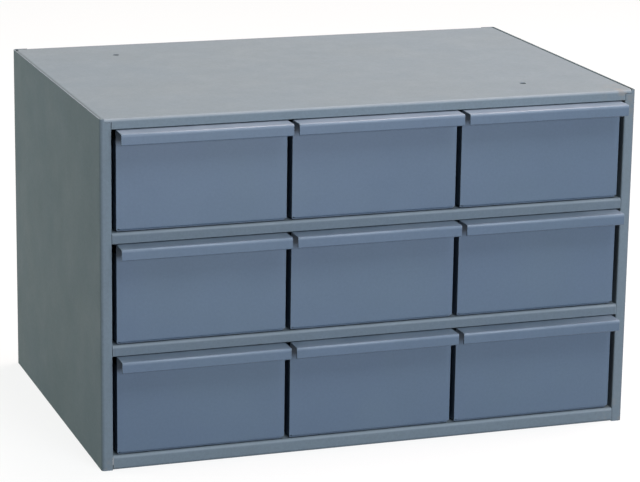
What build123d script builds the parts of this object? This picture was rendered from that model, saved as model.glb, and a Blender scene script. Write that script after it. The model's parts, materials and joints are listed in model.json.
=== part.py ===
from build123d import *
from math import sqrt
import os

# Small-parts cabinet: a spot-welded case of folded steel sheet with nine like drawers.
# Millimetres, +Z up. The drawers face -Y. The origin is on the bench, under the middle
# of the overall box with the pulls counted in.

# Case, without the pulls
case_width = 438.15
case_depth = 295.3
case_height = 276.2
row_names = ["top", "middle", "bottom"]
column_names = ["left", "centre", "right"]
shelf_names = ["upper_shelf", "lower_shelf"]

# Sheet and bends
case_sheet = 0.9
case_bend = 1.7
fold_bend = 0.5
drawer_sheet = 0.8
drawer_bend = 0.6
hem_easing = 4
seam = 0.1
relief = 0.1

# Front frame, as seen from straight ahead
side_flange = 9.0
side_return = 10.0
top_flange = 8.2
shelf_flange = 8.6
bottom_flange = 11.4
bottom_return = 10.0
case_hem = 5.0

# Flanges out of sight
rear_flange = 12.0
end_flange = 10.0
back_pan_depth = 6.0

# Partitions and guides between the drawers
partition_recess = 9.0
partition_flange = 12.0
partition_tabs = 3
tab_pitch = 90.0
tab_length = 18.0
tab_reach = 1.6
slot_clearance = 0.15
hanger_length = 40.0
hanger_drop = 3.0
guide_height = 16.0
piece_gap = 0.3

# Bolt holes on a diagonal, in the top and in the bottom alike
bolt_hole = 5.6
bolt_across = 284.0
bolt_along = 200.0

# Drawers
side_gap = 3.575
middle_gap = 4.3
face_recess = 1.3
pull_depth = 16.6
pull_drop = 9.1
pull_hem = 4.0
pull_top_gap = 0.5
front_flange = 14.0
front_flange_gap = 0.4
tray_inset = 0.6
tray_height = 70.0
tray_hem = 6.0
tray_tab = 10.0
tray_lift = 0.5
tray_back_gap = 0.6
tray_back_foot = 12.0
tab_margin = 1.5
lug_length = 16.0
lug_setback = 14.0
lug_catch = 4.0
lug_corner = 4.0

# Places that follow from the sizes
rows = len(row_names)
columns = len(column_names)
case_corner = case_sheet + case_bend
drawer_corner = drawer_sheet + drawer_bend
case_hem_width = 2 * case_sheet
drawer_hem_width = 2 * drawer_sheet

pull_overhang = pull_depth - face_recess
front_y = -(case_depth + pull_overhang) / 2 + pull_overhang
rear_y = front_y + case_depth
middle_y = (front_y + rear_y) / 2
half_width = case_width / 2
wall_x = half_width - case_sheet
frame_half = half_width - side_flange - seam
back_y = rear_y - case_sheet - back_pan_depth

frame_bars = bottom_flange + top_flange + (rows - 1) * shelf_flange
opening_height = (case_height - frame_bars) / rows
opening_width = case_width - 2 * side_flange
face_width = (opening_width - 2 * side_gap - (columns - 1) * middle_gap) / columns
column_pitch = face_width + middle_gap
deck_heights = [bottom_flange + (rows - 1 - row) * (opening_height + shelf_flange) for row in range(rows)]
column_places = [(column - (columns - 1) / 2) * column_pitch for column in range(columns)]
bolt_places = [(-bolt_across / 2, middle_y + bolt_along / 2), (bolt_across / 2, middle_y - bolt_along / 2)]


def bend_radii(points, sheet, bends):
    """Radius of the outer line at each corner, held to half the shorter side beside it."""
    radii = []
    for before, corner, after, inner in zip(points, points[1:], points[2:], bends):
        arriving = Vector(*corner) - Vector(*before)
        leaving = Vector(*after) - Vector(*corner)
        turns_left = arriving.X * leaving.Y > arriving.Y * leaving.X
        wanted = inner if turns_left else inner + sheet
        radii.append(min(wanted, 0.49 * min(arriving.length, leaving.length)))
    return radii


def creased(points, radii):
    """The points with each corner cut by the one flat that touches the middle of its bend."""
    outline = [Vector(*points[0])]
    for before, point, after, radius in zip(points, points[1:], points[2:], radii):
        corner = Vector(*point)
        for neighbour in (before, after):
            leg = (Vector(*neighbour) - corner).normalized()
            outline.append(corner + leg * radius * (2 - sqrt(2)))
    outline.append(Vector(*points[-1]))
    return outline


def folded(plane, points, sheet, inner, rounded=True):
    """Section of one folded sheet: its outer line runs through the points, metal on the right.

    The inner radius is one number, or a list with one for each bend. A bend that nobody sees
    is drawn as one flat instead of an arc.
    """
    bends = inner if isinstance(inner, list) else [inner] * (len(points) - 2)
    radii = bend_radii(points, sheet, bends)
    with BuildSketch(plane) as section:
        with BuildLine():
            if rounded:
                FilletPolyline(*points, radius=radii)
            else:
                Polyline(*creased(points, radii))
            offset(amount=sheet, side=Side.RIGHT, kind=Kind.INTERSECTION)
        make_face()
    return section.sketch


def hem(plane, low, high, folded_edge, raw_edge):
    """Section of an edge folded flat on itself, from low to high across the double sheet."""
    with BuildSketch(plane) as fold:
        with Locations(((low + high) / 2, (folded_edge + raw_edge) / 2)):
            Rectangle(high - low, abs(raw_edge - folded_edge))
        levels = fold.vertices().group_by(Axis.Y)
        chamfer(levels[-1] if folded_edge > raw_edge else levels[0], length=(high - low) / hem_easing)
    return fold.sketch


def mirrored(points):
    """The same outline on the other side of the middle plane, its metal still on the right."""
    return [(-across, along) for across, along in reversed(points)]


def across_plane(y):
    """Plane that stands across the cabinet at y and looks towards -Y."""
    return Plane(origin=(0, y, 0), x_dir=(1, 0, 0), z_dir=(0, -1, 0))


def corner_blanks(plane, inner_x, outer_x, low_y, high_y):
    """A rectangle on each side of the middle plane, to cut a notch at both ends of a sheet."""
    with BuildSketch(plane) as blanks:
        with Locations((0, (low_y + high_y) / 2)):
            with GridLocations(inner_x + outer_x, 0, 2, 1):
                Rectangle(outer_x - inner_x, high_y - low_y)
    return blanks.sketch


def deck(profile, top_z, end_front, end_rear, rounded):
    """A sheet bent to the profile along Y, with a flange turned down along each side wall."""
    with BuildPart() as sheet:
        half_span = wall_x - case_corner
        extrude(folded(Plane.YZ.offset(-half_span), profile, case_sheet, case_bend), amount=2 * half_span)
        end = [(wall_x - 2 * case_corner, top_z), (wall_x, top_z), (wall_x, top_z - end_flange)]
        for outline in (end, mirrored(end)):
            section = folded(across_plane(end_rear), outline, case_sheet, case_bend, rounded)
            extrude(section, amount=end_rear - end_front)
    return sheet.part


def frame_hem(bottom_z):
    """Hem along the lower edge of a bar of the front frame."""
    return hem(Plane.YZ.offset(-frame_half), front_y, front_y + case_hem_width, bottom_z, bottom_z + case_hem)


def save(piece, name):
    """Label a finished piece and write it to its own file."""
    piece.label = name
    export_step(piece, f"parts/{name}.step")


os.makedirs("parts", exist_ok=True)

# Side panels: a wall with its front flange folded back again behind the frame, and a flange
# at the rear for the back panel. The front flange and its fold stop under the top panel's
# front bend, all but the corner beside the wall.
with BuildPart() as left_side_panel:
    left_outline = [
        (-half_width + side_flange, front_y + side_return),
        (-half_width + side_flange, front_y),
        (-half_width, front_y),
        (-half_width, rear_y),
        (-half_width + rear_flange, rear_y),
    ]
    left_bends = [fold_bend, case_bend, case_bend]
    extrude(folded(Plane.XY, left_outline, case_sheet, left_bends), amount=case_height)
    extrude(
        corner_blanks(
            Plane.XY.offset(case_height - case_corner - piece_gap),
            half_width - side_flange,
            wall_x - case_corner + seam,
            front_y,
            front_y + side_return,
        ),
        amount=case_corner + piece_gap,
        mode=Mode.SUBTRACT,
    )

with BuildPart() as right_side_panel:
    mirror(left_side_panel.part, about=Plane.YZ)

save(left_side_panel.part, "left_side_panel")
save(right_side_panel.part, "right_side_panel")

# Top panel: it drops in between the side panels. Its front bend runs out over their flanges,
# and its hemmed front flange butts between them.
with BuildPart() as top_panel:
    top_front_z = case_height - top_flange
    top_profile = [
        (front_y, top_front_z + case_sheet),
        (front_y, case_height),
        (rear_y, case_height),
        (rear_y, case_height - rear_flange),
    ]
    top_end_front = front_y + case_corner + relief
    add(deck(top_profile, case_height, top_end_front, back_y - piece_gap, True))
    extrude(frame_hem(top_front_z), amount=2 * frame_half)
    front_notch = corner_blanks(
        Plane.XY.offset(top_front_z), frame_half, half_width, front_y, top_end_front
    )
    rear_notch = corner_blanks(
        Plane.XY.offset(case_height - rear_flange),
        half_width - rear_flange - seam,
        half_width,
        rear_y - case_corner - relief,
        rear_y,
    )
    extrude(front_notch, amount=top_flange - case_corner, mode=Mode.SUBTRACT)
    extrude(rear_notch, amount=rear_flange, mode=Mode.SUBTRACT)
    with BuildSketch(Plane.XY.offset(case_height)):
        with Locations(*bolt_places):
            Circle(bolt_hole / 2)
    extrude(amount=-case_sheet, mode=Mode.SUBTRACT)

save(top_panel.part, "top_panel")


def tab_places(x):
    """Middle of each partition tab on a line at x."""
    first = -(partition_tabs - 1) / 2
    return [(x, middle_y + (first + index) * tab_pitch) for index in range(partition_tabs)]


partition_places = [(left + right) / 2 for left, right in zip(column_places, column_places[1:])]


def partition_slots(top_z):
    """Slots through a deck for the tabs of the partitions that stand on it."""
    with BuildSketch(Plane.XY.offset(top_z)) as slots:
        for x in partition_places:
            with Locations(*tab_places(x)):
                Rectangle(case_sheet + 2 * slot_clearance, tab_length + 2 * slot_clearance)
    return slots.sketch


# Shelves: their hemmed front flanges are the two bars of the frame.
for shelf_name, shelf_z in zip(shelf_names, deck_heights):
    with BuildPart() as shelf:
        shelf_front_z = shelf_z - shelf_flange
        shelf_profile = [
            (front_y, shelf_front_z + case_sheet),
            (front_y, shelf_z),
            (back_y, shelf_z),
            (back_y, shelf_z - rear_flange),
        ]
        shelf_notch_depth = front_y + side_return + piece_gap
        add(deck(shelf_profile, shelf_z, shelf_notch_depth, back_y - case_corner - relief, False))
        extrude(frame_hem(shelf_front_z), amount=2 * frame_half)
        shelf_notch = corner_blanks(
            Plane.XY.offset(shelf_z - rear_flange),
            frame_half,
            half_width,
            front_y,
            shelf_notch_depth,
        )
        extrude(shelf_notch, amount=rear_flange, mode=Mode.SUBTRACT)
        extrude(partition_slots(shelf_z), amount=-case_sheet, mode=Mode.SUBTRACT)
    save(shelf.part, shelf_name)

# Bottom panel: a deck on two deep flanges, each turned in at the bench.
with BuildPart() as bottom_panel:
    bottom_profile = [
        (front_y + bottom_return, 0),
        (front_y, 0),
        (front_y, bottom_flange),
        (back_y, bottom_flange),
        (back_y, 0),
        (back_y - bottom_return, 0),
    ]
    bottom_notch_depth = front_y + side_return + piece_gap
    add(deck(bottom_profile, bottom_flange, bottom_notch_depth, back_y - case_corner - relief, False))
    bottom_notch = corner_blanks(Plane.XY, frame_half, half_width, front_y, bottom_notch_depth)
    extrude(bottom_notch, amount=bottom_flange, mode=Mode.SUBTRACT)
    extrude(partition_slots(bottom_flange), amount=-case_sheet, mode=Mode.SUBTRACT)
    with BuildSketch(Plane.XY.offset(bottom_flange)):
        with Locations(*bolt_places):
            Circle(bolt_hole / 2)
    extrude(amount=-case_sheet, mode=Mode.SUBTRACT)

save(bottom_panel.part, "bottom_panel")

# Back panel: a shallow pan, its four edges turned back against the side panels' flanges.
with BuildPart() as back_panel:
    pan_rear = rear_y - case_corner - relief
    pan_top = case_height - case_sheet
    pan_outline = [(wall_x, pan_rear), (wall_x, back_y), (-wall_x, back_y), (-wall_x, pan_rear)]
    pan_height = pan_top - 2 * case_corner
    pan_span = 2 * (wall_x - case_corner)
    pan_section = folded(Plane.XY.offset(case_corner), pan_outline, case_sheet, case_bend, False)
    extrude(pan_section, amount=pan_height)
    pan_head = [(back_y, pan_top - rear_flange), (back_y, pan_top), (pan_rear, pan_top)]
    pan_foot = [(pan_rear, 0), (back_y, 0), (back_y, rear_flange)]
    for outline in (pan_head, pan_foot):
        edge_section = folded(Plane.YZ.offset(-pan_span / 2), outline, case_sheet, case_bend, False)
        extrude(edge_section, amount=pan_span)

save(back_panel.part, "back_panel")


def partition(x, deck_z, ceiling_z):
    """An upright sheet between two bays, with hangers bent over at its head and tabs at its foot."""
    left_face = x - case_sheet / 2
    web_front = front_y + partition_recess
    web_rear = back_y - case_corner - piece_gap
    hanger = [
        (left_face, ceiling_z - 2 * hanger_drop),
        (left_face, ceiling_z),
        (left_face + partition_flange, ceiling_z),
    ]
    with BuildPart() as upright:
        with BuildSketch(Plane.YZ.offset(left_face)):
            with Locations(((web_front + web_rear) / 2, (deck_z + ceiling_z - hanger_drop) / 2)):
                Rectangle(web_rear - web_front, ceiling_z - hanger_drop - deck_z)
            for _, y in tab_places(x):
                with Locations((y, deck_z - case_sheet - tab_reach)):
                    Rectangle(tab_length, case_sheet + tab_reach, align=(Align.CENTER, Align.MIN))
        extrude(amount=case_sheet)
        for (_, y), (_, next_y) in zip(tab_places(x), tab_places(x)[1:]):
            hanger_rear = (y + next_y + hanger_length) / 2
            section = folded(across_plane(hanger_rear), hanger, case_sheet, case_bend, False)
            extrude(section, amount=hanger_length)
    return upright.part


# Partitions: their hangers turn outwards, away from the middle column, and their tabs pass
# through the deck that they stand on. The web stops short of the ceiling, clear of the tabs
# of the row above.
for row in range(rows):
    deck_z = deck_heights[row]
    ceiling_z = (deck_heights[row - 1] if row else case_height) - case_sheet
    with BuildPart() as right_partition:
        add(partition(partition_places[-1], deck_z, ceiling_z))
    with BuildPart() as left_partition:
        mirror(right_partition.part, about=Plane.YZ)
    save(left_partition.part, f"{row_names[row]}_left_partition")
    save(right_partition.part, f"{row_names[row]}_right_partition")

# Guides: an angle on each deck keeps the outer drawers off the side panels.
guide_x = column_places[-1] + column_pitch / 2 - case_sheet / 2
for row in range(rows):
    deck_z = deck_heights[row]
    guide_front = front_y + side_return + piece_gap
    guide_rear = back_y - piece_gap
    right_guide_outline = mirrored(
        [(-guide_x, deck_z + guide_height), (-guide_x, deck_z), (-wall_x, deck_z)]
    )
    with BuildPart() as right_guide:
        section = folded(across_plane(guide_rear), right_guide_outline, case_sheet, case_bend, False)
        extrude(section, amount=guide_rear - guide_front)
    with BuildPart() as left_guide:
        mirror(right_guide.part, about=Plane.YZ)
    save(left_guide.part, f"{row_names[row]}_left_guide")
    save(right_guide.part, f"{row_names[row]}_right_guide")

# One drawer, drawn over a deck at height zero and on the middle plane.
face_front = front_y + face_recess
face_rear = face_front + drawer_sheet
tray_half = face_width / 2 - tray_inset
tray_top = tray_lift + tray_height
tray_floor = tray_lift + drawer_sheet
tray_rear = back_y - tray_back_gap

# Drawer front: one sheet that runs from the hemmed lip over the pull, down the face and
# back onto the tray's floor.
with BuildPart() as drawer_front:
    lip_y = face_front - pull_depth
    pull_top = opening_height - pull_top_gap
    lip_z = pull_top - pull_drop
    seat_z = tray_floor + drawer_sheet
    face_foot = tray_floor + drawer_corner
    face_profile = [
        (lip_y, lip_z + drawer_sheet),
        (lip_y, pull_top),
        (face_rear, pull_top),
        (face_rear, face_foot),
    ]
    extrude(
        folded(Plane.YZ.offset(-face_width / 2), face_profile, drawer_sheet, drawer_bend),
        amount=face_width,
    )
    lip_hem = hem(
        Plane.YZ.offset(-face_width / 2), lip_y, lip_y + drawer_hem_width, lip_z, lip_z + pull_hem
    )
    extrude(lip_hem, amount=face_width)
    foot_half = tray_half - drawer_corner - front_flange_gap
    foot_profile = [
        (face_rear, face_foot + drawer_corner),
        (face_rear, seat_z),
        (face_rear + front_flange, seat_z),
    ]
    extrude(
        folded(Plane.YZ.offset(-foot_half), foot_profile, drawer_sheet, drawer_bend),
        amount=2 * foot_half,
    )

# Tray: floor, sides and back from one blank. The sides and back are hemmed on top, tabs
# close the corners and meet the front, and a lug on each side stops the drawer.
with BuildPart() as drawer_tray:
    walls_front = face_rear + drawer_corner
    walls_rear = tray_rear - drawer_sheet - drawer_corner
    hem_inner = tray_half - drawer_hem_width
    walls_outline = [
        (tray_half, tray_top - drawer_sheet),
        (tray_half, tray_lift),
        (-tray_half, tray_lift),
        (-tray_half, tray_top - drawer_sheet),
    ]
    walls_plane = across_plane(walls_rear)
    walls_section = [
        folded(walls_plane, walls_outline, drawer_sheet, drawer_bend),
        hem(walls_plane, hem_inner, tray_half, tray_top, tray_top - tray_hem),
        hem(walls_plane, -tray_half, -hem_inner, tray_top, tray_top - tray_hem),
    ]
    for section in walls_section:
        extrude(section, amount=walls_rear - walls_front)
    back_half = tray_half - drawer_corner
    back_profile = [
        (tray_rear, tray_top - drawer_sheet),
        (tray_rear, tray_lift),
        (tray_rear - tray_back_foot, tray_lift),
    ]
    back_plane = Plane.YZ.offset(-back_half)
    back_section = [
        folded(back_plane, back_profile, drawer_sheet, drawer_bend),
        hem(back_plane, tray_rear - drawer_hem_width, tray_rear, tray_top, tray_top - tray_hem),
    ]
    for section in back_section:
        extrude(section, amount=2 * back_half)
    tab_foot = tray_floor + drawer_corner
    tab_height = tray_top - tray_hem - tab_margin - tab_foot
    tab_rear = tray_rear - drawer_sheet
    front_tab = [
        (tray_half, face_rear + 2 * drawer_corner),
        (tray_half, face_rear),
        (tray_half - tray_tab, face_rear),
    ]
    rear_tab = [
        (tray_half - tray_tab, tab_rear),
        (tray_half, tab_rear),
        (tray_half, tab_rear - 2 * drawer_corner),
    ]
    for outline in (front_tab, mirrored(front_tab), rear_tab, mirrored(rear_tab)):
        section = folded(Plane.XY.offset(tab_foot), outline, drawer_sheet, drawer_bend, False)
        extrude(section, amount=tab_height)
    lug_rear = tray_rear - lug_setback
    lug_front = lug_rear - lug_length
    lug_foot = tray_top - tray_hem - tab_margin
    hem_gate = corner_blanks(
        Plane.XY.offset(tray_top - tray_hem),
        hem_inner,
        tray_half,
        lug_front - tab_margin,
        lug_rear + tab_margin,
    )
    extrude(hem_gate, amount=tray_hem, mode=Mode.SUBTRACT)
    lug_top = opening_height + lug_catch
    for side in (-1, 1):
        with BuildSketch(Plane.YZ.offset(side * tray_half)) as lug_shape:
            with Locations(((lug_front + lug_rear) / 2, (lug_foot + lug_top) / 2)):
                Rectangle(lug_length, lug_top - lug_foot)
            chamfer(lug_shape.vertices().group_by(Axis.Y)[-1], length=lug_corner)
        extrude(amount=-side * drawer_sheet)

for row, row_name in enumerate(row_names):
    for column, column_name in enumerate(column_names):
        place = Location((column_places[column], 0, deck_heights[row]))
        drawer_name = f"{row_name}_{column_name}_drawer"
        save(drawer_front.part.moved(place), f"{drawer_name}_front")
        save(drawer_tray.part.moved(place), f"{drawer_name}_tray")
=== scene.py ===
import json
from math import cos, radians, sin

import bmesh
import bpy
from mathutils import Matrix, Vector


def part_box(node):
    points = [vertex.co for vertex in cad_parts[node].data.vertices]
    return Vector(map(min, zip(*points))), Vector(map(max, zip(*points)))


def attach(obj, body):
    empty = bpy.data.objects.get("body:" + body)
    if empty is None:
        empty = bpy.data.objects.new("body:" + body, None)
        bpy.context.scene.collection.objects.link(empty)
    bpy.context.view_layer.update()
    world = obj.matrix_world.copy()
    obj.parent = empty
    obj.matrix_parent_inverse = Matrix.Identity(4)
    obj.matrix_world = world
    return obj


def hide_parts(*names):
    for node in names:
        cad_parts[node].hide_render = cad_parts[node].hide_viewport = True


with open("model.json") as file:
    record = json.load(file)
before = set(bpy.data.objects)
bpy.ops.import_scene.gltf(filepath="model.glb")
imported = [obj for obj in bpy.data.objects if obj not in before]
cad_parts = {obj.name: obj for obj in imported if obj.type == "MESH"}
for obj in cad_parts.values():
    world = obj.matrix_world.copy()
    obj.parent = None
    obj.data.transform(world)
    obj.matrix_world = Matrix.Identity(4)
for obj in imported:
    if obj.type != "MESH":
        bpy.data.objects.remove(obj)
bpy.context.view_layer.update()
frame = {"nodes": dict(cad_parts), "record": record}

# A small-parts cabinet in grey and blue enamel, photographed on a white table.
nodes = frame["nodes"]
bodies = frame["record"]["behaviour"]["bodies"]
rows = ["top", "middle", "bottom"]
columns = ["left", "centre", "right"]
drawers = [f"{row}_{column}_drawer" for row in rows for column in columns]


def tree(owner):
    # an empty node tree, with a helper that adds a node and joins it up
    if isinstance(owner, bpy.types.NodeTree):
        made = owner
    else:
        owner.use_nodes = True
        made = owner.node_tree
    made.nodes.clear()

    def add(kind, links=None, **values):
        node = made.nodes.new(kind)
        for name, value in values.items():
            setattr(node, name, value)
        for socket, source in (links or {}).items():
            if isinstance(source, bpy.types.NodeSocket):
                made.links.new(source, node.inputs[socket])
            else:
                node.inputs[socket].default_value = source
        return node

    return made, add


caseFinish = {
    "colour": (0.166, 0.206, 0.236),
    "cloudColour": (0.180, 0.211, 0.224),   # where the coat is thin or has aged warmer
    "cloud": 0.26,
    "fleck": 0.05,
    "specular": 0.05,
    "roughness": (0.46, 0.60),
    "wearAndHighlight": (0.33, 0.375, 0.41),
    "edgeWearAndHighlight": 0.55,
    "paintedPullHighlight": 0.0,
    "paintedBendHighlight": 0.42,      # painted highlight: how far the paint is lightened along the frame's front top bends
    "chipColour": (0.115, 0.092, 0.080),
    "chipAmount": 0.75,
    "scuffColour": (0.230, 0.222, 0.210),
    # places on the case where the paint is scuffed, and how far from each
    "scuffs": [
        ((0.219, -0.140, 0.276), 0.034),
        ((0.219, -0.140, 0.0), 0.026),
        ((-0.219, -0.140, 0.0), 0.014),
    ],
    "peelSize": 0.0011,
    "peelDepth": 0.000012,
    "waveSize": 0.11,
    "waveDepth": 0.00025,
    # edge radius; on the case it takes in the front bends, which the edge lightening then brightens as
    # painted highlight
    "edge": 0.0016,
}

# painted shade: the two bars across the front get a darker copy of the frame's paint, though they are the
# same enamel
shadedShelfFinish = {**caseFinish, "colour": (0.141, 0.176, 0.207), "cloudColour": (0.153, 0.181, 0.197)}

drawerFinish = {
    "colour": (0.092, 0.134, 0.192),
    "cloudColour": (0.097, 0.141, 0.187),
    "cloud": 0.45,
    "fleck": 0.04,
    "specular": 0.36,
    "roughness": (0.30, 0.42),
    "wearAndHighlight": (0.26, 0.32, 0.39),
    "edgeWearAndHighlight": 0.35,
    "paintedPullHighlight": 0.46,       # painted highlight: how far the paint is lightened on the pull's top and front bend
    "paintedBendHighlight": 0.0,
    "chipColour": (0.090, 0.085, 0.085),
    "chipAmount": 0.5,
    "scuffColour": (0.20, 0.20, 0.20),
    "scuffs": [],
    "peelSize": 0.0011,
    "peelDepth": 0.000010,
    "waveSize": 0.09,
    "waveDepth": 0.00014,
    "edge": 0.0004,
}

# size in metres, detail and roughness of each pattern in the paint
patterns = {
    "smear": (0.030, 6.0, 0.7),
    "cloud": (0.085, 4.0, 0.6),
    "fleck": (0.0022, 2.0, 0.8),
    "chip": (0.006, 3.0, 0.8),
    "patch": (0.011, 5.0, 0.75),
}
waveDetail = 2.0
peelDetail = 1.5

# the two readings between which each mark comes in, and its strength at them
limits = {
    "edge": (0.995, 0.80, 0.0, 1.0),
    "rubbedAndHighlit": (0.42, 0.62, 0.25, 1.0),
    "pullHighlightMask": (0.35, 0.65, 0.6, 1.0),
    "upFront": (0.10, 0.45, 0.0, 1.0),
    "bends": (0.35, 0.60, 0.7, 1.0),
    "chipped": (0.60, 0.66, 0.0, 1.0),
    "clouded": (0.40, 0.64, 0.0, 1.0),
    "patched": (0.50, 0.60, 0.0, 1.0),
}
middleBand = (0.3, 0.7)
scuffStrength = 0.7
scuffCore = 0.3            # the share of its reach over which a scuff is at full strength


def enamel(name, finish):
    # sprayed enamel on folded steel: orange peel, slow waves in the sheet, chipped edges, edges lightened
    # partly as rubbed wear and partly as painted highlight, and painted highlights on the front top bends
    # and the pull's top
    material = bpy.data.materials.new(name)
    made, add = tree(material)
    place = add("ShaderNodeTexCoord").outputs["Object"]

    def noise(size, detail, rough=0.5):
        return add("ShaderNodeTexNoise", {
            "Vector": place, "Scale": 1 / size, "Detail": detail, "Roughness": rough,
        }).outputs["Fac"]

    def span(value, fromLow, fromHigh, toLow, toHigh):
        return add("ShaderNodeMapRange", {
            "Value": value, "From Min": fromLow, "From Max": fromHigh, "To Min": toLow, "To Max": toHigh,
        }).outputs["Result"]

    def times(first, second):
        return add("ShaderNodeMath", {0: first, 1: second}, operation="MULTIPLY").outputs["Value"]

    def blend(amount, first, second):
        return add("ShaderNodeMix", {
            "Factor": amount, 6: first, 7: second,
        }, data_type="RGBA").outputs[2]

    smear = noise(*patterns["smear"])
    cloud = noise(*patterns["cloud"])
    fleck = noise(*patterns["fleck"])
    slow = noise(finish["waveSize"], waveDetail)
    peel = noise(finish["peelSize"], peelDetail)

    waves = add("ShaderNodeBump", {"Height": slow, "Distance": finish["waveDepth"], "Strength": 1.0})
    skin = add("ShaderNodeBump", {
        "Height": peel, "Distance": finish["peelDepth"], "Strength": 1.0,
        "Normal": waves.outputs["Normal"],
    })

    # edges are found by comparing the face with a rounded copy of itself
    rounded = add("ShaderNodeBevel", {"Radius": finish["edge"]}, samples=6)
    flat = add("ShaderNodeNewGeometry")
    agree = add("ShaderNodeVectorMath", {
        0: rounded.outputs["Normal"], 1: flat.outputs["True Normal"],
    }, operation="DOT_PRODUCT")
    edge = span(agree.outputs["Value"], *limits["edge"])
    # paint lightened along edges: rubbed wear, and a painted highlight where the case's bends fall within
    # the edge radius
    rubbedAndHighlit = times(times(edge, span(smear, *limits["rubbedAndHighlit"])), finish["edgeWearAndHighlight"])
    # painted highlight on the pull's top and front bend, where foldFront marks the points
    paintedPullHighlight = add("ShaderNodeAttribute", attribute_name="paintedPullHighlight").outputs["Fac"]
    pullHighlightMask = times(times(paintedPullHighlight, span(smear, *limits["pullHighlightMask"])), finish["paintedPullHighlight"])
    # painted highlight: the paint is lightened where the surface faces up and forward, along the front
    # top bends
    turning = add("ShaderNodeSeparateXYZ", {"Vector": flat.outputs["Normal"]}).outputs
    upFront = span(times(times(turning["Y"], -1.0), turning["Z"]), *limits["upFront"])
    bends = times(times(upFront, span(smear, *limits["bends"])), finish["paintedBendHighlight"])
    chips = span(noise(*patterns["chip"]), *limits["chipped"])
    chipped = times(times(edge, chips), finish["chipAmount"])

    clouded = times(span(cloud, *limits["clouded"]), finish["cloud"])
    paint = blend(clouded, (*finish["colour"], 1.0), (*finish["cloudColour"], 1.0))
    tone = span(fleck, *middleBand, 1 - finish["fleck"], 1 + finish["fleck"])
    speckled = add("ShaderNodeVectorMath", {
        0: paint, "Scale": tone,
    }, operation="SCALE").outputs["Vector"]
    # one pale colour serves the rubbed edges and the painted highlights
    wearAndHighlight = (*finish["wearAndHighlight"], 1.0)
    highlitPaint = blend(pullHighlightMask, blend(bends, speckled, wearAndHighlight), wearAndHighlight)
    wornAndHighlit = blend(rubbedAndHighlit, highlitPaint, wearAndHighlight)
    colour = blend(chipped, wornAndHighlit, (*finish["chipColour"], 1.0))
    patches = span(noise(*patterns["patch"]), *limits["patched"])
    for corner, reach in finish["scuffs"]:
        away = add("ShaderNodeVectorMath", {0: place, 1: corner}, operation="DISTANCE").outputs["Value"]
        near = span(away, reach, reach * scuffCore, 0.0, 1.0)
        scuffed = times(times(near, patches), scuffStrength)
        colour = blend(scuffed, colour, (*finish["scuffColour"], 1.0))

    shader = add("ShaderNodeBsdfPrincipled", {
        "Base Color": colour,
        "Roughness": span(smear, *middleBand, *finish["roughness"]),
        "Normal": skin.outputs["Normal"],
        "IOR": 1.5,
        "Specular IOR Level": finish["specular"],
    })
    made.links.new(shader.outputs["BSDF"], add("ShaderNodeOutputMaterial").inputs["Surface"])
    return material


caseEnamel = enamel("case_enamel_finish", caseFinish)
shadedShelfEnamel = enamel("shelf_painted_shade", shadedShelfFinish)
drawerEnamel = enamel("drawer_enamel_finish", drawerFinish)


def coatOf(node, body):
    # the bars take the darker copy of the frame's paint, which is painted shade
    if node.endswith("_shelf"):
        return shadedShelfEnamel
    if body == "case":
        return caseEnamel
    return drawerEnamel


for body, members in bodies.items():
    for node in members:
        nodes[node].data.materials.clear()
        nodes[node].data.materials.append(coatOf(node, body))
print("painted the case and", len(drawers), "drawers")


def meshGroup(name, inputs, output):
    # a node group with these inputs, of which grow() sets all but the first
    made, add = tree(bpy.data.node_groups.new(name, "GeometryNodeTree"))
    for label, kind in inputs.items():
        made.interface.new_socket(label, in_out="INPUT", socket_type=kind)
    made.interface.new_socket(output, in_out="OUTPUT", socket_type="NodeSocketGeometry")
    return made, add, add("NodeGroupInput").outputs


def grow(name, base, group, settings):
    # the base mesh run through a node group, as a plain mesh with nothing left live
    piece = bpy.data.objects.new(name, base)
    modifier = piece.modifiers.new("grow", "NODES")
    modifier.node_group = group
    identifiers = {
        item.name: item.identifier
        for item in group.interface.items_tree if item.item_type == "SOCKET" and item.in_out == "INPUT"
    }
    for setting, value in settings.items():
        modifier[identifiers[setting]] = value
    bpy.context.scene.collection.objects.link(piece)
    ready = piece.evaluated_get(bpy.context.evaluated_depsgraph_get())
    mesh = bpy.data.meshes.new_from_object(ready)
    piece.modifiers.clear()
    piece.data = mesh
    mesh.name = name
    return piece


samePlace = 2e-6           # points closer than this, in metres, are one point


def finishMesh(mesh, flatFace):
    # closed and outward, with soft bends between flats
    work = bmesh.new()
    work.from_mesh(mesh)
    bmesh.ops.remove_doubles(work, verts=work.verts, dist=samePlace)
    bmesh.ops.recalc_face_normals(work, faces=work.faces)
    for face in work.faces:
        face.smooth = face.calc_area() < flatFace
    work.to_mesh(mesh)
    work.free()


frontFold = {
    "sheet": 0.0008,
    "bend": 0.0006,        # inner radius where the pull and the foot turn
    "pullDepth": 0.0166,
    "pullDrop": 0.0091,
    "hem": 0.0040,
    "hemGap": 0.0002,
    "rawEdge": 0.00018,    # paint rounds the cut edges
    "footInset": 0.0024,
    "highlightDrop": 0.0028,    # the painted highlight covers the bend from its top down to here
    "highlightMargin": 0.0002,
    "highlightBack": 0.003,     # and from the lip back to here
    "highlightDepth": 0.0007,   # the pull's top is what lies within this of its highest point
    "bendSteps": 6,
    "rawEdgeSteps": 2,
    "flatFace": 6e-5,      # faces larger than this, in square metres, are shaded flat
}

foldInputs = {
    "Path": "NodeSocketGeometry",
    "Width": "NodeSocketFloat",
    "Sheet": "NodeSocketFloat",
    "Raw Edge": "NodeSocketFloat",
    "Steps": "NodeSocketInt",
    "Paint": "NodeSocketMaterial",
}


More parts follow.
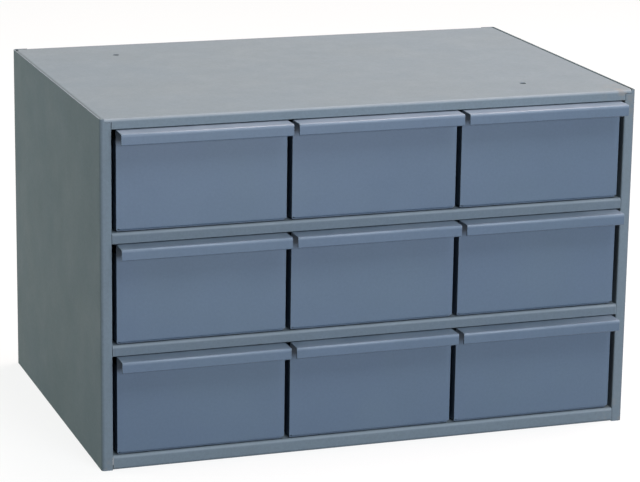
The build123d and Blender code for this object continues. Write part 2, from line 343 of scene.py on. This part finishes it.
def foldGroup():
    # sweeps a strip of sheet along a line, turning each corner on the radius stored there
    made, add, given = meshGroup("folded_sheet", foldInputs, "Folded")
    radius = add("GeometryNodeInputNamedAttribute", {"Name": "bend"}, data_type="FLOAT")
    line = add("GeometryNodeMeshToCurve", {"Mesh": given["Path"]})
    turned = add("GeometryNodeFilletCurve", {
        "Curve": line.outputs["Curve"], "Count": given["Steps"], "Radius": radius.outputs["Attribute"],
        "Limit Radius": True,
    }, mode="POLY")
    level = add("GeometryNodeSetCurveNormal", {
        "Curve": turned.outputs["Curve"], "Normal": (1.0, 0.0, 0.0),
    }, mode="FREE")
    strip = add("GeometryNodeCurvePrimitiveQuadrilateral", {
        "Width": given["Width"], "Height": given["Sheet"],
    })
    softened = add("GeometryNodeFilletCurve", {
        "Curve": strip.outputs["Curve"], "Count": frontFold["rawEdgeSteps"], "Radius": given["Raw Edge"],
    }, mode="POLY")
    swept = add("GeometryNodeCurveToMesh", {
        "Curve": level.outputs["Curve"], "Profile Curve": softened.outputs["Curve"], "Fill Caps": True,
    })
    real = add("GeometryNodeRealizeInstances", {"Geometry": swept.outputs["Mesh"]})
    painted = add("GeometryNodeSetMaterial", {
        "Geometry": real.outputs["Geometry"], "Material": given["Paint"],
    })
    made.links.new(painted.outputs["Geometry"], add("NodeGroupOutput").inputs["Folded"])
    return made


def foldLine(name, x, corners):
    # the middle line of a sheet, in the plane at x, with a radius for each corner
    mesh = bpy.data.meshes.new(name)
    places = [(x, y, z) for y, z, _ in corners]
    mesh.from_pydata(places, [(i, i + 1) for i in range(len(corners) - 1)], [])
    bend = mesh.attributes.new("bend", "FLOAT", "POINT")
    for point, (_, _, radius) in zip(bend.data, corners):
        point.value = radius
    return mesh


def foldFront(drawer, group):
    # the drawer's front from one sheet: hemmed lip, pull, face, and the foot on the tray's floor
    low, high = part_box(f"{drawer}_front")
    half = frontFold["sheet"] / 2
    corner = frontFold["bend"] + half
    hemTurn = half + frontFold["hemGap"] / 2
    x = (low.x + high.x) / 2
    lipBottom = high.z - frontFold["pullDrop"]
    faceLine = low.y + frontFold["pullDepth"] + half
    faceFoot = low.z + frontFold["sheet"] + frontFold["bend"]
    hemLine = low.y + half + 2 * hemTurn
    front = [
        (hemLine, lipBottom + frontFold["hem"], 0),
        (hemLine, lipBottom + half, hemTurn),
        (low.y + half, lipBottom + half, hemTurn),
        (low.y + half, high.z - frontFold["highlightDrop"], 0),
        (low.y + half, high.z - half, corner),
        (faceLine, high.z - half, corner),
        (faceLine, faceFoot, 0),
    ]
    foot = [(faceLine, faceFoot, 0), (faceLine, low.z + half, corner), (high.y, low.z + half, 0)]
    name = f"{drawer}_folded_front"
    width = high.x - low.x
    sizes = {
        "Sheet": frontFold["sheet"], "Raw Edge": frontFold["rawEdge"], "Steps": frontFold["bendSteps"],
        "Paint": drawerEnamel,
    }
    piece = grow(name, foldLine(name, x, front), group, {**sizes, "Width": width})
    footPiece = grow(f"{name}_foot", foldLine(f"{name}_foot", x, foot), group, {
        **sizes, "Width": width - 2 * frontFold["footInset"],
    })
    joined = bmesh.new()
    joined.from_mesh(piece.data)
    joined.from_mesh(footPiece.data)
    joined.to_mesh(piece.data)
    joined.free()
    bpy.data.objects.remove(footPiece)
    finishMesh(piece.data, frontFold["flatFace"])
    # painted highlight: marks the pull's top and front bend, where the paint is lightened
    paintedPullHighlight = piece.data.attributes.new("paintedPullHighlight", "FLOAT", "POINT")
    bendFoot = high.z - frontFold["highlightDrop"] + frontFold["highlightMargin"]
    for point, vertex in zip(paintedPullHighlight.data, piece.data.vertices):
        onBend = vertex.co.y < low.y + frontFold["highlightBack"] and vertex.co.z > bendFoot
        onTop = vertex.co.z > high.z - frontFold["highlightDepth"]
        point.value = 1.0 if onBend or onTop else 0.0
    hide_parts(f"{drawer}_front")
    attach(piece, drawer)


foldedSheet = foldGroup()
for drawer in drawers:
    foldFront(drawer, foldedSheet)
print("folded", len(drawers), "drawer fronts")


weldMark = {
    "diameter": 0.0046,
    "smallest": 0.86,      # sizes of the marks against that diameter
    "largest": 1.08,
    "rim": 0.00028,
    "flatten": 0.30,       # height of the rim against its width
    "around": 22,
    "rimSides": 6,
    "flatFace": 1.0,       # larger than any face of a rim, so all of it is smooth
    "seed": 7,
    "tabInset": 0.0055,
    "tabHeights": (0.020, 0.044, 0.062),
    "footBack": 0.0085,
    "footMarks": 5,
    "footSpan": 0.104,
    "caseSheet": 0.0009,
    "backMarks": 8,
    "backSpan": 0.372,
    "backDrop": 0.0045,    # below the deck whose rear flange is welded to the back panel
}

weldInputs = {
    "Places": "NodeSocketGeometry",
    "Diameter": "NodeSocketFloat",
    "Rim": "NodeSocketFloat",
    "Flatten": "NodeSocketFloat",
    "Around": "NodeSocketInt",
    "Seed": "NodeSocketInt",
    "Paint": "NodeSocketMaterial",
}


def weldGroup():
    # the ring that an electrode leaves, laid on each point and turned to its normal
    made, add, given = meshGroup("weld_marks", weldInputs, "Marks")
    half = add("ShaderNodeMath", {0: given["Diameter"], 1: 0.5}, operation="MULTIPLY").outputs["Value"]
    circle = add("GeometryNodeCurvePrimitiveCircle", {"Resolution": given["Around"], "Radius": half})
    rim = add("GeometryNodeCurvePrimitiveCircle", {
        "Resolution": weldMark["rimSides"], "Radius": given["Rim"],
    })
    ring = add("GeometryNodeCurveToMesh", {
        "Curve": circle.outputs["Curve"], "Profile Curve": rim.outputs["Curve"],
    })
    squash = add("ShaderNodeCombineXYZ", {"X": 1.0, "Y": 1.0, "Z": given["Flatten"]})
    low = add("GeometryNodeTransform", {
        "Geometry": ring.outputs["Mesh"], "Scale": squash.outputs["Vector"],
    })
    facing = add("GeometryNodeInputNamedAttribute", {"Name": "facing"}, data_type="FLOAT_VECTOR")
    turn = add("FunctionNodeAlignRotationToVector", {"Vector": facing.outputs["Attribute"]}, axis="Z")
    points = add("GeometryNodeMeshToPoints", {"Mesh": given["Places"]})
    uneven = add("FunctionNodeRandomValue", {
        2: weldMark["smallest"], 3: weldMark["largest"], "Seed": given["Seed"],
    }, data_type="FLOAT")
    placed = add("GeometryNodeInstanceOnPoints", {
        "Points": points.outputs["Points"], "Instance": low.outputs["Geometry"],
        "Rotation": turn.outputs["Rotation"], "Scale": uneven.outputs[1],
    })
    real = add("GeometryNodeRealizeInstances", {"Geometry": placed.outputs["Instances"]})
    painted = add("GeometryNodeSetMaterial", {
        "Geometry": real.outputs["Geometry"], "Material": given["Paint"],
    })
    made.links.new(painted.outputs["Geometry"], add("NodeGroupOutput").inputs["Marks"])
    return made


def spread(count, width):
    return [width * (index / (count - 1) - 0.5) for index in range(count)]


def markWelds(name, body, paint, group, marks):
    mesh = bpy.data.meshes.new(name)
    mesh.from_pydata([place for place, _ in marks], [], [])
    facing = mesh.attributes.new("facing", "FLOAT_VECTOR", "POINT")
    for point, (_, direction) in zip(facing.data, marks):
        point.vector = direction
    piece = grow(name, mesh, group, {
        "Diameter": weldMark["diameter"], "Rim": weldMark["rim"], "Flatten": weldMark["flatten"],
        "Around": weldMark["around"], "Seed": weldMark["seed"], "Paint": paint,
    })
    finishMesh(piece.data, weldMark["flatFace"])
    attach(piece, body)


def drawerWelds(drawer):
    # through the foot flange into the floor, and through the corner tabs
    frontLow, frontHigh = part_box(f"{drawer}_front")
    trayLow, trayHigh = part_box(f"{drawer}_tray")
    x = (frontLow.x + frontHigh.x) / 2
    sheet = frontFold["sheet"]
    faceBack = frontLow.y + frontFold["pullDepth"] + sheet
    marks = [
        ((x + across, faceBack + weldMark["footBack"], frontLow.z + sheet), (0, 0, 1))
        for across in spread(weldMark["footMarks"], weldMark["footSpan"])
    ]
    for inward, edge in ((1, trayLow.x), (-1, trayHigh.x)):
        for height in weldMark["tabHeights"]:
            tabX = edge + inward * weldMark["tabInset"]
            marks.append(((tabX, faceBack + sheet, trayLow.z + height), (0, 1, 0)))
            marks.append(((tabX, trayHigh.y - 2 * sheet, trayLow.z + height), (0, -1, 0)))
    return marks


def caseWelds():
    # each deck's rear flange shows as a row of marks on the back panel
    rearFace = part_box("upper_shelf")[1].y + weldMark["caseSheet"]
    decks = ("upper_shelf", "lower_shelf", "bottom_panel")
    heights = [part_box(deck)[1].z - weldMark["backDrop"] for deck in decks]
    across = spread(weldMark["backMarks"], weldMark["backSpan"])
    return [((x, rearFace, z), (0, 1, 0)) for z in heights for x in across]


weldRings = weldGroup()
for drawer in drawers:
    markWelds(
        f"{drawer}_weld_marks", drawer, drawerEnamel, weldRings, drawerWelds(drawer),
    )
markWelds("back_weld_marks", "case", caseEnamel, weldRings, caseWelds())
print("marked the spot welds")


studio = {
    "floorSize": 24.0,
    "floorColour": (0.15, 0.15, 0.15, 1.0),
    "floorGlow": 0.86,
    "ambient": (0.09, 0.10, 0.09, 1.0),
    "target": (0.0, 0.0, 0.14),
}

# name, place, size, power and colour
lamps = [
    ("key_lamp", (0.40, -2.6, 0.55), 0.9, 42.0, (0.90, 0.99, 1.14)),
    ("hood_lamp", (0.25, -1.4, 2.1), 1.0, 22.0, (0.98, 1.0, 1.02)),
    ("sky_lamp", (0.75, 0.25, 2.3), 1.4, 64.0, (1.17, 0.95, 0.88)),
    ("left_lamp", (-2.3, 1.3, 1.1), 1.2, 27.0, (0.92, 1.09, 0.96)),
    ("right_lamp", (2.4, 0.9, 0.9), 1.2, 12.0, (1.0, 1.0, 1.0)),
]


def seenDirectly(add):
    # 1 for the camera and for mirror images, 0 for light that falls on the object
    path = add("ShaderNodeLightPath").outputs
    straight = add("ShaderNodeMath", {
        0: path["Is Camera Ray"], 1: path["Is Glossy Ray"],
    }, operation="MAXIMUM")
    return add("ShaderNodeMath", {
        0: straight.outputs["Value"], 1: path["Is Transmission Ray"],
    }, operation="MAXIMUM").outputs["Value"]


def placeFloor():
    mesh = bpy.data.meshes.new("floor")
    half = studio["floorSize"] / 2
    corners = [(-half, -half, 0), (half, -half, 0), (half, half, 0), (-half, half, 0)]
    mesh.from_pydata(corners, [], [(0, 1, 2, 3)])
    floor = bpy.data.objects.new("floor", mesh)
    bpy.context.scene.collection.objects.link(floor)
    material = bpy.data.materials.new("white_table")
    made, add = tree(material)
    seen = add("ShaderNodeMath", {0: seenDirectly(add), 1: studio["floorGlow"]}, operation="MULTIPLY")
    glow = add("ShaderNodeEmission", {"Color": (1, 1, 1, 1), "Strength": seen.outputs["Value"]})
    matt = add("ShaderNodeBsdfDiffuse", {"Color": studio["floorColour"]})
    both = add("ShaderNodeAddShader", {0: matt.outputs["BSDF"], 1: glow.outputs["Emission"]})
    made.links.new(both.outputs["Shader"], add("ShaderNodeOutputMaterial").inputs["Surface"])
    mesh.materials.append(material)


def hangLamp(name, place, size, power, colour):
    lamp = bpy.data.lights.new(name, "AREA")
    lamp.size = size
    lamp.energy = power
    lamp.color = colour
    holder = bpy.data.objects.new(name, lamp)
    holder.location = place
    holder.rotation_euler = (Vector(studio["target"]) - Vector(place)).to_track_quat("-Z", "Y").to_euler()
    bpy.context.scene.collection.objects.link(holder)


def lightRoom():
    world = bpy.data.worlds.new("studio")
    made, add = tree(world)
    shade = add("ShaderNodeMix", {
        "Factor": seenDirectly(add), 6: studio["ambient"], 7: (1, 1, 1, 1),
    }, data_type="RGBA")
    white = add("ShaderNodeBackground", {"Color": shade.outputs[2], "Strength": 1.0})
    made.links.new(white.outputs["Background"], add("ShaderNodeOutputWorld").inputs["Surface"])
    bpy.context.scene.world = world
    for lamp in lamps:
        hangLamp(*lamp)


viewpoint = {
    "place": (-0.6949, -2.0200, 0.6896),
    "yaw": 19.08,
    "pitch": 14.62,
    "roll": 0.83,
    "lens": 149.6,
    "sensor": 36.0,
}


def placeCamera():
    yaw, pitch, roll = (radians(viewpoint[name]) for name in ("yaw", "pitch", "roll"))
    forward = Vector((sin(yaw) * cos(pitch), cos(yaw) * cos(pitch), -sin(pitch)))
    level = forward.cross(Vector((0, 0, 1))).normalized()
    upright = level.cross(forward)
    side = cos(roll) * level + sin(roll) * upright
    up = cos(roll) * upright - sin(roll) * level
    data = bpy.data.cameras.new("view")
    data.lens = viewpoint["lens"]
    data.sensor_width = viewpoint["sensor"]
    data.sensor_fit = "HORIZONTAL"
    camera = bpy.data.objects.new("view", data)
    turn = Matrix((side, up, -forward)).transposed().to_4x4()
    camera.matrix_world = Matrix.Translation(viewpoint["place"]) @ turn
    bpy.context.scene.collection.objects.link(camera)
    bpy.context.scene.camera = camera


placeFloor()
lightRoom()
placeCamera()
bpy.context.scene.view_settings.view_transform = "Standard"
print("set the floor, the lamps and the camera")
